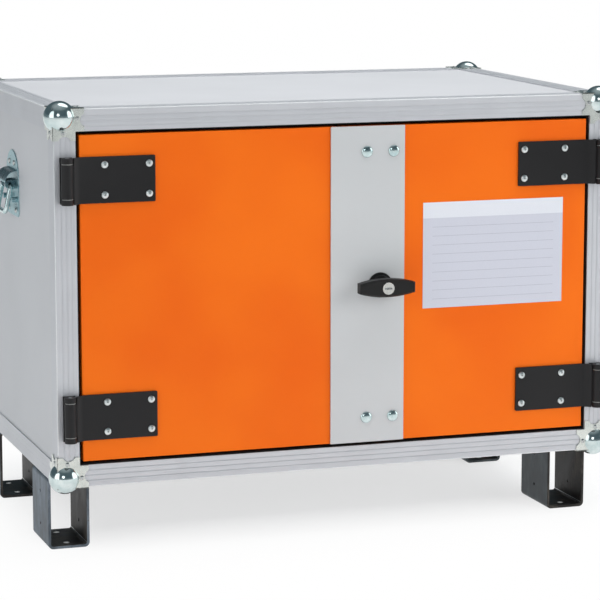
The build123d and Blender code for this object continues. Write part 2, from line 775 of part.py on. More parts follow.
# ================================================================ side handles
def handle_plate():
    """Right-hand carrying plate: arched sheet, quarter-round hood, two straps and two buffers."""
    half, base = plate_width / 2, plate_top - plate_height
    shoulder = base + plate_shoulder
    side_on = Plane(origin=(inner_x, handle_y, 0), x_dir=(0, 1, 0), z_dir=(1, 0, 0))
    outline = make_face([
        Line((-half, base), (half, base)), Line((half, base), (half, shoulder)),
        ThreePointArc((half, shoulder), (0, plate_top), (-half, shoulder)),
        Line((-half, shoulder), (-half, base))])
    outline = fillet(outline.vertices().sort_by(Axis.Y)[:2], plate_corner_radius)
    plate = side_on * extrude(outline, plate_sheet)

    hood_start = (plate_face_x, handle_y + hood_length / 2, hood_low)
    along = Plane(origin=hood_start, x_dir=(1, 0, 0), z_dir=(0, -1, 0))
    quarter = Circle(hood_radius) - Circle(hood_radius - plate_sheet)
    quarter &= Pos(hood_radius, hood_radius) * Rectangle(2 * hood_radius, 2 * hood_radius)
    plate += along * extrude(quarter, hood_length)

    for side in (-1, 1):
        y = handle_y + side * strap_place
        eye = extrude(RegularPolygon(strap_radius, turned_sides), strap_width / 2, both=True)
        strap = Pos(pivot_x, y, pivot_z) * Rot(90, 0, 0) * eye
        strap += block(
            (plate_face_x, pivot_x), (y - strap_width / 2, y + strap_width / 2),
            (pivot_z - strap_radius, pivot_z + strap_radius))
        bore = Cylinder(bail_wire_radius + running_gap, 2 * strap_width, rotation=(90, 0, 0))
        plate += strap - Pos(pivot_x, y, pivot_z) * bore
        plate += buffer(side)
    return plate


def buffer(side):
    """Round stop that one leg of the bail leans on."""
    lean = radians(bail_rest_angle)
    drop = buffer_drop - buffer_radius
    height = bail_standoff + (drop * sin(lean) - bail_wire_radius - contact_gap) / cos(lean)
    post = Plane.YZ * extrude(RegularPolygon(buffer_radius, wire_sides), height)
    return Pos(plate_face_x, handle_y + side * bail_half_width, pivot_z - buffer_drop) * post


def bail():
    """Right-hand bail: a closed wire loop whose top bar is the pivot."""
    half = bail_half_width
    path = FilletPolyline(
        (0, 0), (0, half), (-bail_length, half), (-bail_length, 0), radius=bail_corner_radius)
    path = Plane(origin=(0, 0, 0), x_dir=(0, 0, 1), z_dir=(1, 0, 0)) * path
    # in that plane the drawing's x is the height and its y is depth, reversed
    section = Plane(origin=path @ 0, z_dir=path % 0) * RegularPolygon(bail_wire_radius, wire_sides)
    wire = sweep(section, path=path)
    loop = wire + mirror(wire, about=Plane.XZ)
    leaning = loop.rotate(Axis.Y, -bail_rest_angle)
    return Pos(pivot_x, handle_y, pivot_z) * leaning


def plate_rivets():
    """Rivets of the right-hand plate."""
    head = Rot(0, 90, 0) * dome(rivet_radius, rivet_height)
    high = plate_top - plate_rivet_from_top
    low = plate_top - plate_height + plate_low_rivet_from_bottom
    places = [(side * plate_rivet_half_spacing, high) for side in (-1, 1)]
    places += [(side * plate_low_rivet_half_spacing, low) for side in (-1, 1)]
    return [Pos(plate_face_x, handle_y + y, z) * head for y, z in places]


# ================================================================ shelf
def shelf():
    """Slotted sheet with a turned-down lip at front and rear."""
    half = lined_x - shelf_side_gap
    y_range = (stop_rear + shelf_front_gap, lined_rear - shelf_rear_gap)
    sheet = block((-half, half), y_range, (shelf_top - shelf_sheet, shelf_top))
    for low, high in ((y_range[0], y_range[0] + shelf_sheet), (y_range[1] - shelf_sheet, y_range[1])):
        lip_half = half - rail_leg
        sheet += block((-lip_half, lip_half), (low, high), (shelf_top - shelf_lip, shelf_top))
    pitch_x = 2 * half / (shelf_slot_columns + 0.5)
    pitch_y = (y_range[1] - y_range[0]) / (shelf_slot_rows + 1)
    slot = Box(shelf_slot_length, shelf_slot_width, 4 * shelf_sheet)
    for column in range(shelf_slot_columns):
        for row in range(shelf_slot_rows):
            x = (column - (shelf_slot_columns - 1) / 2) * pitch_x
            y = y_range[0] + (row + 1) * pitch_y
            sheet -= Pos(x, y, shelf_top) * slot
    return sheet


def shelf_rail():
    """Angle on the right-hand lining that carries the shelf."""
    y_range = (stop_rear + shelf_front_gap, lined_rear - shelf_rear_gap)
    seat = shelf_top - shelf_sheet
    angle = block((lined_x - rail_leg, lined_x), y_range, (seat - rail_sheet, seat))
    return angle + block((lined_x - rail_sheet, lined_x), y_range, (seat - rail_leg, seat))


# ================================================================ the whole cabinet
def build():
    os.makedirs("parts", exist_ok=True)
    bolt_holes = foot_bolt_holes()
    for name, profile in case_profiles().items():
        if name in ("profile_bottom_left", "profile_bottom_right"):
            profile -= bolt_holes
        save(name, profile)
    panels = case_panels()
    panels["panel_bottom"] -= bolt_holes
    for name, board in (panels | lining_boards()).items():
        save(name, board)
    save("ball_corners", *at_all_corners(ball_corner()))
    save("corner_rivets", *[copy for rivet in corner_rivets() for copy in at_all_corners(rivet)])
    save("door_surround", *door_surround())
    save("door_seal", door_seal())
    save("rod_keepers", rod_keeper(1), rod_keeper(-1))

    for name, (x, y) in foot_places().items():
        save(f"foot_{name}", Pos(x, y, 0) * foot() - bolt_holes)
    save("foot_bolts", *foot_bolts())

    leaves = [hinge_leaf(z) for z in hinge_heights]
    fixed = [hinge_base(z) for z in hinge_heights]
    pins = [hinge_pin(z) for z in hinge_heights]
    washers = [washer for z in hinge_heights for washer in hinge_washers(z)]
    save("hinge_bases", *fixed, *[mirrored(piece) for piece in fixed])
    save("hinge_pins", *pins, *[mirrored(piece) for piece in pins])
    save("hinge_washers", *washers, *[mirrored(piece) for piece in washers])
    save("right_hinge_leaves", *leaves)
    save("left_hinge_leaves", *[mirrored(leaf) for leaf in leaves])
    save("right_hinge_screws", *hinge_screws())
    save("left_hinge_screws", *[mirrored(screw) for screw in hinge_screws()])

    tray = door_tray() - hinge_screw_holes()
    core = door_core()
    save("left_door_skin", mirrored(tray))
    save("left_door_core", mirrored(core))
    save("right_door_skin", tray - lock_door_holes())
    save("right_door_core", core - lock_door_holes())
    save("centre_strip", centre_strip() - lock_door_holes())
    save("strip_bolts", *strip_bolts())
    save("rod_guides", rod_guide(), turned_over(rod_guide()))
    save("handle_rose", rose())
    save("handle_grip", grip())
    save("handle_spindle", spindle())
    save("lock_cam", lock_cam())
    save("lock_cylinder", lock_cylinder())
    save("upper_rod", lock_rod())
    save("lower_rod", turned_over(lock_rod()))

    save("right_handle_plate", handle_plate())
    save("left_handle_plate", mirrored(handle_plate()))
    save("plate_rivets", *plate_rivets(), *[mirrored(rivet) for rivet in plate_rivets()])
    save("right_bail", bail())
    save("left_bail", mirrored(bail()))
    save("shelf", shelf())
    save("shelf_rails", shelf_rail(), mirrored(shelf_rail()))


build()
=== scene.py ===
"""Finishes, small hardware, floor, light and camera for the two-door battery cabinet.

Metres, +X right, +Y into the cabinet, +Z up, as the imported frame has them. Sizes written in
millimetres are turned to metres by MM.
"""
import json
import math

import bmesh
import bpy
from mathutils import Matrix, Vector

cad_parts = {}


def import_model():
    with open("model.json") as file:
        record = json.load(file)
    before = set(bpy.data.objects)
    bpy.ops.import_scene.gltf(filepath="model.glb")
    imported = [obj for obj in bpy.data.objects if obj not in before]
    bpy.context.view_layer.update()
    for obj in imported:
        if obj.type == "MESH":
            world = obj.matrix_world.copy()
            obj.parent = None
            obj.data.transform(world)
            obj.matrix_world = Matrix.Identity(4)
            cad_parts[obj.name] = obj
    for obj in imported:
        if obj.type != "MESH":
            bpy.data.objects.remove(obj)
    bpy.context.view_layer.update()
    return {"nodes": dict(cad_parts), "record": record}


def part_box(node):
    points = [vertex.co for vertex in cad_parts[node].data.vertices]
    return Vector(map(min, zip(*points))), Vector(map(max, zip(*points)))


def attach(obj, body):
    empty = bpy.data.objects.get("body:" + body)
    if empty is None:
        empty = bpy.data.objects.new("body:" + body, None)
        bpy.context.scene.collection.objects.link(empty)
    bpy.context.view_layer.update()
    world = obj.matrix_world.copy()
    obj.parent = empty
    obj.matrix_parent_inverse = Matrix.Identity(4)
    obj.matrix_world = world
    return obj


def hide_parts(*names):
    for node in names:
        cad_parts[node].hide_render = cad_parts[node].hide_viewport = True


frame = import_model()
nodes = frame["nodes"]
record = frame["record"]
MM = 0.001

# ---------------------------------------------------------------- places, from the frame
case_left, case_front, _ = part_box("profile_front_left")[0]
case_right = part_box("profile_front_right")[1].x
case_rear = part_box("profile_rear_left")[1].y
case_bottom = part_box("profile_bottom_left")[0].z
case_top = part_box("profile_top_left")[1].z
door_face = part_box("right_door_skin")[0].y
strip_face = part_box("centre_strip")[0].y
LEAF_SHEET = 3.0
leaf_face = door_face - LEAF_SHEET * MM
lock_low, lock_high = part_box("lock_cylinder")
lock_axis = (lock_low + lock_high) / 2


# ---------------------------------------------------------------- colours and nodes
def linear(code):
    """An sRGB hex colour as linear RGBA."""
    channels = [int(code[place:place + 2], 16) / 255 for place in (0, 2, 4)]
    return [c / 12.92 if c <= 0.04045 else ((c + 0.055) / 1.055) ** 2.4 for c in channels] + [1.0]


def give(node, inputs):
    """Fills a node's sockets: another node's output is linked, anything else is a value."""
    for socket, value in inputs.items():
        if isinstance(value, bpy.types.NodeSocket):
            node.id_data.links.new(value, node.inputs[socket])
        else:
            node.inputs[socket].default_value = value


def add(tree, kind, inputs=None, stops=(), **settings):
    """Adds a shader node with its settings, values and links, and a ramp's (place, hex) stops."""
    node = tree.nodes.new(kind)
    for name, value in settings.items():
        setattr(node, name, value)
    give(node, inputs or {})
    for count, (place, code) in enumerate(stops):
        elements = node.color_ramp.elements
        element = elements[count] if count < len(elements) else elements.new(place)
        element.position, element.color = place, linear(code)
    return node


def new_material(name):
    """An empty material with its Principled shader and Object coordinates."""
    material = bpy.data.materials.new(name)
    material.use_nodes = True
    tree = material.node_tree
    shader = tree.nodes["Principled BSDF"]
    place = add(tree, "ShaderNodeTexCoord").outputs["Object"]
    return material, tree, shader, place


def pattern(tree, place, size_mm, stretch=(1, 1, 1), detail=3.0, roughness=0.55):
    """Noise whose grain measures size_mm, drawn out along an axis by stretch."""
    scale = [1 / (size_mm * MM * factor) for factor in stretch]
    mapped = add(tree, "ShaderNodeMapping", {"Vector": place, "Scale": scale})
    values = {"Vector": mapped.outputs["Vector"], "Scale": 1.0, "Detail": detail, "Roughness": roughness}
    return add(tree, "ShaderNodeTexNoise", values).outputs["Fac"]


SPAN = {"From Min": 0.3, "From Max": 0.7}   # what a pattern's noise really fills of 0 to 1


# ---------------------------------------------------------------- materials
def anodised_extrusion(axis):
    """Natural anodised aluminium, extruded: silky grey with hair-fine die lines along its length.

    The lines of a real die are finer still; they are drawn 0.9 mm wide so that they show.
    """
    material, tree, shader, place = new_material(f"anodised_extrusion_{axis}")
    stretch = [400.0 if letter == axis else 1.0 for letter in "xyz"]
    die_lines = pattern(tree, place, 0.9, stretch, detail=4.0)
    clouds = pattern(tree, place, 60.0, detail=2.0)
    tone = add(tree, "ShaderNodeValToRGB", {"Fac": die_lines}, [(0.30, "BCBDC1"), (0.70, "CBCBCF")])
    colour = add(tree, "ShaderNodeMix",
                 {"Factor": clouds, "A": tone.outputs["Color"], "B": linear("CFD0D4")}, data_type="RGBA")
    sheen = add(tree, "ShaderNodeMapRange", {"Value": die_lines, **SPAN, "To Min": 0.38, "To Max": 0.52})
    bump = add(tree, "ShaderNodeBump", {"Height": die_lines, "Distance": 0.03 * MM, "Strength": 0.35})
    give(shader, {"Base Color": colour.outputs["Result"], "Metallic": 0.45,
                  "Roughness": sheen.outputs["Result"], "Normal": bump.outputs["Normal"]})
    return material


def edge_highlight_paint():
    """The rounded corner of the extrusions in a paler, less metallic tone: a painted highlight along every
    rounded outer corner.
    """
    material, tree, shader, place = new_material("edge_highlight_paint")
    haze = pattern(tree, place, 3.0, detail=2.0)
    tone = add(tree, "ShaderNodeValToRGB", {"Fac": haze}, [(0.3, "DEDFE1"), (0.7, "E6E7E8")])
    sheen = add(tree, "ShaderNodeMapRange", {"Value": haze, **SPAN, "To Min": 0.38, "To Max": 0.46})
    give(shader, {"Base Color": tone.outputs["Color"], "Metallic": 0.3,
                  "Roughness": sheen.outputs["Result"]})
    return material


def coated_board():
    """Light grey melamine-coated board: an even satin with a pearl grain, drawn coarse enough to show."""
    material, tree, shader, place = new_material("coated_board")
    grain = pattern(tree, place, 0.8, detail=2.0)
    clouds = pattern(tree, place, 180.0, detail=2.0)
    tone = add(tree, "ShaderNodeValToRGB", {"Fac": clouds}, [(0.30, "C6C6C9"), (0.70, "CBCBCE")])
    sheen = add(tree, "ShaderNodeMapRange", {"Value": grain, **SPAN, "To Min": 0.40, "To Max": 0.52})
    bump = add(tree, "ShaderNodeBump", {"Height": grain, "Distance": 0.02 * MM, "Strength": 0.30})
    give(shader, {"Base Color": tone.outputs["Color"], "Roughness": sheen.outputs["Result"],
                  "Normal": bump.outputs["Normal"]})
    return material


def fire_board(name, dark, light):
    """Pressed mineral board: matt, pale, with grey and white specks and a slightly open face."""
    material, tree, shader, place = new_material(name)
    specks = pattern(tree, place, 2.2, detail=5.0, roughness=0.7)
    clouds = pattern(tree, place, 70.0, detail=3.0)
    tone = add(tree, "ShaderNodeValToRGB", {"Fac": specks}, [(0.25, dark), (0.60, light)])
    colour = add(tree, "ShaderNodeMix",
                 {"Factor": clouds, "A": tone.outputs["Color"], "B": linear(light)}, data_type="RGBA")
    bump = add(tree, "ShaderNodeBump", {"Height": specks, "Distance": 0.15 * MM, "Strength": 0.5})
    give(shader, {"Base Color": colour.outputs["Result"], "Roughness": 0.85,
                  "Normal": bump.outputs["Normal"]})
    return material


def powder_coat(name, dark, light, peel_mm, rough, gloss=0.3):
    """Baked powder paint on sheet: even colour, a soft sheen and the faint dimples of its peel."""
    material, tree, shader, place = new_material(name)
    clouds = pattern(tree, place, 220.0, detail=2.0)
    peel = pattern(tree, place, peel_mm, detail=1.5)
    tone = add(tree, "ShaderNodeValToRGB", {"Fac": clouds}, [(0.30, dark), (0.70, light)])
    tone.color_ramp.interpolation = "EASE"
    sheen = add(tree, "ShaderNodeMapRange",
                {"Value": peel, **SPAN, "To Min": rough - 0.05, "To Max": rough + 0.06})
    bump = add(tree, "ShaderNodeBump", {"Height": peel, "Distance": 0.04 * MM, "Strength": 0.30})
    give(shader, {"Base Color": tone.outputs["Color"], "Roughness": sheen.outputs["Result"],
                  "Specular IOR Level": gloss, "Normal": bump.outputs["Normal"]})
    return material


def glass_filled_nylon():
    """Black moulded nylon with glass fibre: a dull skin with a fine spark-eroded grain."""
    material, tree, shader, place = new_material("glass_filled_nylon")
    grain = pattern(tree, place, 0.6, detail=3.0)
    tone = add(tree, "ShaderNodeValToRGB", {"Fac": grain}, [(0.30, "0A0909"), (0.70, "121111")])
    sheen = add(tree, "ShaderNodeMapRange", {"Value": grain, **SPAN, "To Min": 0.34, "To Max": 0.50})
    bump = add(tree, "ShaderNodeBump", {"Height": grain, "Distance": 0.05 * MM, "Strength": 0.4})
    give(shader, {"Base Color": tone.outputs["Color"], "Roughness": sheen.outputs["Result"],
                  "Specular IOR Level": 0.35, "Normal": bump.outputs["Normal"]})
    return material


def bright_zinc(name, dark, light, rough):
    """Bright zinc plate with a blue-green passivation: mirror-like, a little uneven in tint."""
    material, tree, shader, place = new_material(name)
    tint = pattern(tree, place, 14.0, detail=2.0)
    haze = pattern(tree, place, 1.5, detail=3.0)
    tone = add(tree, "ShaderNodeValToRGB", {"Fac": tint}, [(0.30, dark), (0.70, light)])
    sheen = add(tree, "ShaderNodeMapRange",
                {"Value": haze, **SPAN, "To Min": rough * 0.7, "To Max": rough * 1.5})
    bump = add(tree, "ShaderNodeBump", {"Height": haze, "Distance": 0.008 * MM, "Strength": 0.25})
    give(shader, {"Base Color": tone.outputs["Color"], "Metallic": 1.0,
                  "Roughness": sheen.outputs["Result"], "Normal": bump.outputs["Normal"]})
    return material


SPANGLE = 6.0   # across one zinc crystal


def galvanised_sheet(name, dark, light):
    """Hot-dip galvanised sheet: bluish grey with crystal spangle and a soft gloss."""
    material, tree, shader, place = new_material(name)
    spangle = add(tree, "ShaderNodeTexVoronoi", {"Vector": place, "Scale": 1 / (SPANGLE * MM)},
                  feature="F1")
    crystal = add(tree, "ShaderNodeSeparateColor", {"Color": spangle.outputs["Color"]}).outputs["Red"]
    tone = add(tree, "ShaderNodeValToRGB", {"Fac": crystal}, [(0.0, dark), (1.0, light)])
    sheen = add(tree, "ShaderNodeMapRange", {"Value": crystal, "To Min": 0.26, "To Max": 0.42})
    bump = add(tree, "ShaderNodeBump",
               {"Height": pattern(tree, place, 1.2), "Distance": 0.02 * MM, "Strength": 0.3})
    give(shader, {"Base Color": tone.outputs["Color"], "Metallic": 0.9,
                  "Roughness": sheen.outputs["Result"], "Normal": bump.outputs["Normal"]})
    return material


def mill_scale_steel(name, tones, fleck, metal=0.55):
    """Hot-rolled flat steel, oiled: blue-black scale with paler rubbed streaks and brown flecks."""
    material, tree, shader, place = new_material(name)
    blotches = pattern(tree, place, 26.0, (1, 1, 2.2), detail=6.0, roughness=0.65)
    flecks = pattern(tree, place, 3.0, detail=4.0, roughness=0.7)
    scale = add(tree, "ShaderNodeValToRGB", {"Fac": blotches}, zip((0.36, 0.50, 0.64), tones))
    brown = add(tree, "ShaderNodeValToRGB", {"Fac": flecks}, [(0.62, "000000"), (0.74, "FFFFFF")])
    colour = add(tree, "ShaderNodeMix",
                 {"Factor": brown.outputs["Color"], "A": scale.outputs["Color"], "B": linear(fleck)},
                 data_type="RGBA")
    sheen = add(tree, "ShaderNodeMapRange", {"Value": blotches, **SPAN, "To Min": 0.40, "To Max": 0.62})
    bump = add(tree, "ShaderNodeBump", {"Height": flecks, "Distance": 0.06 * MM, "Strength": 0.4})
    give(shader, {"Base Color": colour.outputs["Result"], "Metallic": metal,
                  "Roughness": sheen.outputs["Result"], "Normal": bump.outputs["Normal"]})
    return material


def plated_steel(name, colour, rough):
    """Plain turned or sheared steel part, zinc-plated: even, semi-bright."""
    material, tree, shader, place = new_material(name)
    haze = pattern(tree, place, 2.5, detail=3.0)
    tone = add(tree, "ShaderNodeValToRGB", {"Fac": haze}, [(0.25, colour), (0.85, "D5D8D8")])
    sheen = add(tree, "ShaderNodeMapRange",
                {"Value": haze, **SPAN, "To Min": rough * 0.8, "To Max": rough * 1.3})
    bump = add(tree, "ShaderNodeBump", {"Height": haze, "Distance": 0.01 * MM, "Strength": 0.2})
    give(shader, {"Base Color": tone.outputs["Color"], "Metallic": 1.0,
                  "Roughness": sheen.outputs["Result"], "Normal": bump.outputs["Normal"]})
    return material


def cellular_rubber():
    """Black sponge rubber: fully matt, with a fine closed-cell skin."""
    material, tree, shader, place = new_material("cellular_rubber")
    cells = pattern(tree, place, 0.7, detail=3.0)
    tone = add(tree, "ShaderNodeValToRGB", {"Fac": cells}, [(0.3, "0B0A0A"), (0.7, "161515")])
    bump = add(tree, "ShaderNodeBump", {"Height": cells, "Distance": 0.08 * MM, "Strength": 0.5})
    give(shader, {"Base Color": tone.outputs["Color"], "Roughness": 0.9, "Normal": bump.outputs["Normal"]})
    return material


def natural_nylon():
    """Grey moulded nylon of the hinge washers: slightly translucent and waxy."""
    material, tree, shader, place = new_material("natural_nylon")
    wax = pattern(tree, place, 1.5, detail=2.0)
    tone = add(tree, "ShaderNodeValToRGB", {"Fac": wax}, [(0.3, "8D8D8A"), (0.7, "9E9E9A")])
    give(shader, {"Base Color": tone.outputs["Color"], "Roughness": 0.45})
    return material


def printed_card(name, dark, light):
    """Laminated paper card: pale print under a thin clear film, its fibres drawn coarse enough to show."""
    material, tree, shader, place = new_material(name)
    fibre = pattern(tree, place, 0.9, detail=4.0)
    tone = add(tree, "ShaderNodeValToRGB", {"Fac": fibre}, [(0.3, dark), (0.7, light)])
    bump = add(tree, "ShaderNodeBump", {"Height": fibre, "Distance": 0.01 * MM, "Strength": 0.2})
    give(shader, {"Base Color": tone.outputs["Color"], "Roughness": 0.32, "Coat Weight": 0.35,
                  "Coat Roughness": 0.12, "Normal": bump.outputs["Normal"]})
    return material


extrusion = {axis: anodised_extrusion(axis) for axis in "xyz"}
# paler tone for the rounded corners of the extrusions: painted highlight
painted_edge_highlight = edge_highlight_paint()
board = coated_board()
lining = fire_board("fire_board_lining", "B9B5AC", "DAD7CE")
core = fire_board("fire_board_core", "B4AFA5", "D2CEC4")
surround_paint = powder_coat("surround_paint", "B7B7B8", "BFBFC0", 1.2, 0.55)
orange = powder_coat("orange_powder_coat", "EC6306", "F4700C", 1.4, 0.45, gloss=0.18)
strip_grey = powder_coat("grey_powder_coat", "C3C4C5", "C7C8C9", 1.3, 0.46)
hinge_black = powder_coat("black_powder_coat", "171617", "1D1C1D", 0.9, 0.46)
nylon = glass_filled_nylon()
zinc = bright_zinc("bright_zinc_fitting", "BFD0D0", "DCE6E5", 0.10)
zinc_plate = bright_zinc("bright_zinc_plate", "CDD1CC", "E0E3DD", 0.26)
zinc_wire = bright_zinc("bright_zinc_wire", "B4CACB", "DCE8E8", 0.16)
zinc_screw = bright_zinc("bright_zinc_screw", "CDD4D4", "E2E8E7", 0.34)
galvanised = galvanised_sheet("galvanised_sheet", "8FA6AB", "B9C8CB")
teal_zinc = galvanised_sheet("teal_zinc_sheet", "7FA5AE", "A9C8CD")
# darker zinc for the pressed hood and straps of the side plates: painted shade
hood_painted_shade_zinc = galvanised_sheet("zinc_sheet_painted_shade", "506A72", "789299")
raw_steel = mill_scale_steel("mill_scale_steel", ("4E555C", "69727B", "858E98"), "4A4038")
# darker copy of the steel for the outside of the right feet: painted shade
right_foot_painted_shade_steel = mill_scale_steel("mill_scale_steel_painted_shade", ("33383B", "474D50", "5D6366"), "443B33")
# darker copy of the steel for the inner faces of the feet: painted shade
inside_painted_shade_steel = mill_scale_steel("mill_scale_steel_inside_painted_shade", ("0F0D0C", "24201D", "57514A"), "4A3C30",
                               metal=0.2)
# bright steel for the walls of the holes in the feet's soles: painted light for the white floor seen through
# them
hole_painted_light_steel = plated_steel("hole_painted_light_steel", "C9CCCC", 0.35)
plated = plated_steel("plated_steel", "A4ABAC", 0.34)
rivet_steel = plated_steel("rivet_steel", "B6B8B6", 0.28)
# dark grey for the screw recesses and the key slot: painted shade
recess_painted_shade = plated_steel("screw_recess_painted_shade", "5C6060", 0.5)
nickel = plated_steel("nickel_plate", "C2BEB6", 0.24)
rubber = cellular_rubber()
washer_nylon = natural_nylon()
card_body = printed_card("card_body", "C6C7D2", "CCCDD8")
card_header = printed_card("card_header", "DBDDE4", "E1E2E9")
card_rule = printed_card("card_rule", "A9AAB8", "B0B1BE")


# ---------------------------------------------------------------- making pieces
def body_of(node):
    """The body that a CAD node belongs to."""
    return next(body for body, members in record["behaviour"]["bodies"].items() if node in members)


def shade(mesh, angle):
    """Smooth shading with edges sharper than the angle kept crisp."""
    for face in mesh.polygons:
        face.use_smooth = True
    mesh.set_sharp_from_angle(angle=math.radians(angle))


def piece_from(shape, name, finish, node=None, body=None, angle=38.0):
    """Turns a bmesh into a finished piece that rides on its body and stands for its node."""
    mesh = bpy.data.meshes.new(name)
    shape.to_mesh(mesh)
    shape.free()
    shade(mesh, angle)
    for material in finish if isinstance(finish, list) else [finish]:
        mesh.materials.append(material)
    piece = bpy.data.objects.new(name, mesh)
    bpy.context.scene.collection.objects.link(piece)
    even = piece.modifiers.new("even_normals", "WEIGHTED_NORMAL")
    even.keep_sharp = True
    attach(piece, body or body_of(node))
    if node:
        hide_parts(node)
    return piece


def merged(node):
    """A copy of a CAD node's triangles, joined up and with its flat faces whole."""
    shape = bmesh.new()
    shape.from_mesh(nodes[node].data)
    bmesh.ops.remove_doubles(shape, verts=shape.verts, dist=0.002 * MM)
    bmesh.ops.dissolve_limit(shape, angle_limit=math.radians(0.5), verts=shape.verts, edges=shape.edges)
    return shape


def soften(shape, width_mm, angle=50.0):
    """Bevels every edge that is sharper than the angle."""
    sharp = [
        edge for edge in shape.edges
        if len(edge.link_faces) == 2 and edge.calc_face_angle(0.0) > math.radians(angle)
    ]
    bmesh.ops.bevel(shape, geom=sharp, offset=width_mm * MM, offset_type="OFFSET", segments=2,
                    profile=0.5, affect="EDGES", clamp_overlap=True, material=-1)


def dress(node, finish, edge_mm=0.0):
    """Gives a CAD node its finish, on a copy with softened edges."""
    shape = merged(node)
    if edge_mm:
        soften(shape, edge_mm)
    piece_from(shape, f"{node}_finished", finish, node)


def lathe(outline_mm, steps=32, ring=False):
    """A turned shape about +Z from (radius, height) points, from axis to axis, or closed as a ring."""
    shape = bmesh.new()
    points = [shape.verts.new((radius * MM, 0, height * MM)) for radius, height in outline_mm]
    edges = [shape.edges.new(pair) for pair in zip(points, points[1:])]
    if ring:
        edges.append(shape.edges.new((points[-1], points[0])))
    bmesh.ops.spin(shape, geom=points + edges, cent=(0, 0, 0), axis=(0, 0, 1), angle=math.tau,
                   steps=steps, use_merge=True)
    bmesh.ops.remove_doubles(shape, verts=shape.verts, dist=0.005 * MM)
    bmesh.ops.recalc_face_normals(shape, faces=shape.faces)
    return shape


def box_shape(low, high):
    """A plain block between two corners."""
    shape = bmesh.new()
    low, high = Vector(low), Vector(high)
    place = Matrix.Translation((low + high) / 2) @ Matrix.Diagonal((*(high - low), 1))
    bmesh.ops.create_cube(shape, size=1.0, matrix=place)
    return shape


def join_into(target, shape, places):
    """Adds a copy of shape to target at each placing matrix."""
    scratch = bpy.data.meshes.new("scratch")
    shape.to_mesh(scratch)
    for place in places:
        before = len(target.verts)
        target.from_mesh(scratch)
        target.verts.ensure_lookup_table()
        fresh = target.verts[before:]
        bmesh.ops.transform(target, matrix=place, verts=fresh)
        if place.determinant() < 0:
            faces = list({face for vert in fresh for face in vert.link_faces})
            bmesh.ops.reverse_faces(target, faces=faces)
    bpy.data.meshes.remove(scratch)


def facing_front(x, y, z):
    """Places a shape that stands on +Z so that it stands off the front at a point."""
    return Matrix.Translation((x, y, z)) @ Matrix.Rotation(math.radians(90), 4, "X")


def islands(node):
    """The boxes of the separate solids of a CAD node, as (low, high) pairs."""
    shape = bmesh.new()
    shape.from_mesh(nodes[node].data)
    bmesh.ops.remove_doubles(shape, verts=shape.verts, dist=0.002 * MM)
    left = set(shape.verts)
    boxes = []
    while left:
        front_line = [left.pop()]
        found = list(front_line)
        while front_line:
            vert = front_line.pop()
            for edge in vert.link_edges:
                other = edge.other_vert(vert)
                if other in left:
                    left.remove(other)
                    front_line.append(other)
                    found.append(other)
        low = Vector([min(v.co[axis] for v in found) for axis in range(3)])
        high = Vector([max(v.co[axis] for v in found) for axis in range(3)])
        boxes.append((low, high))
    shape.free()
    return boxes


# ---------------------------------------------------------------- case
LINE_SHARE = (0.12, 0.80, 0.45)   # how deep the lines of the side, front and top faces are drawn
LINE_REACH = 0.75   # a little past the depth of the lines
EDGE_ROUND = 1.6    # a little past the rounding of the outer corner
SOLE = 7.0          # up to above the drilled sole of a foot
SOLE_RIM = 3.0      # in to past its outer faces


def foot(node):
    """Bent foot: rubbed scale outside, painted shade on its inner faces, and painted light in the holes of
    its sole.
    """
    low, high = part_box(node)
    middle = (low + high) / 2
    shape = merged(node)
    soften(shape, 0.5)
    sole, rim = low.z + SOLE * MM, SOLE_RIM * MM
    for face in shape.faces:
        centre = face.calc_center_median()
        within = (low.x + rim < centre.x < high.x - rim) and (low.y + rim < centre.y < high.y - rim)
        # The walls of the holes in the sole are bright: painted light for the floor seen through them.
        if within and centre.z < sole and abs(face.normal.z) < 0.3:
            face.material_index = 2
        # Faces turned in towards the foot's middle take the darker copy: painted shade.
        elif face.normal.x * (centre.x - middle.x) + face.normal.z * (centre.z - middle.z) < 0:
            face.material_index = 1
    # The right feet stand further under the case: their outside is a darker copy of the steel, painted shade.
    outside = right_foot_painted_shade_steel if "right" in node else raw_steel
    piece_from(shape, f"{node}_finished", [outside, inside_painted_shade_steel, hole_painted_light_steel], node)


def profile(node, finish):
    """Edge profile: fine lines along its two faces, and a painted highlight on its rounded outer corner."""
    shape = merged(node)
    walls = ((case_left, case_right), (case_front, case_rear), (case_bottom, case_top))

    def off_wall(place, axis):
        """The signed way from the nearer outer plane of the case."""
        return min((place[axis] - wall for wall in walls[axis]), key=abs)

    def by_corner(place):
        return sum(abs(off_wall(place, axis)) < EDGE_ROUND * MM for axis in range(3)) > 1

    for vert in shape.verts:
        for axis in range(3):
            depth = off_wall(vert.co, axis)
            if abs(depth) < LINE_REACH * MM and not by_corner(vert.co):
                vert.co[axis] += (LINE_SHARE[axis] - 1) * depth
    # Faces on the rounded outer corner take the paler tone: painted highlight.
    for face in shape.faces:
        if by_corner(face.calc_center_median()) and max(abs(part) for part in face.normal) < 0.99:
            face.material_index = 1
    piece_from(shape, f"{node}_finished", [finish, painted_edge_highlight], node)


def case_pieces():
    """Finishes of the case: profiles, boards, linings, surround, feet and shelf."""
    for node in nodes:
        if node.startswith("profile_"):
            if node.startswith(("profile_front", "profile_rear")):
                axis = "z"
            else:
                axis = "x" if node.endswith(("front", "rear")) else "y"
            profile(node, extrusion[axis])
        elif node.startswith("panel_"):
            dress(node, board, edge_mm=0.3)
        elif node.startswith("lining_"):
            dress(node, lining, edge_mm=0.5)
        elif node.startswith("foot_") and node != "foot_bolts":
            foot(node)
    dress("door_surround", surround_paint, edge_mm=0.6)
    dress("door_seal", rubber)
    dress("rod_keepers", plated, edge_mm=0.3)
    dress("foot_bolts", plated, edge_mm=0.3)
    dress("shelf", galvanised, edge_mm=0.25)
    dress("shelf_rails", galvanised, edge_mm=0.3)


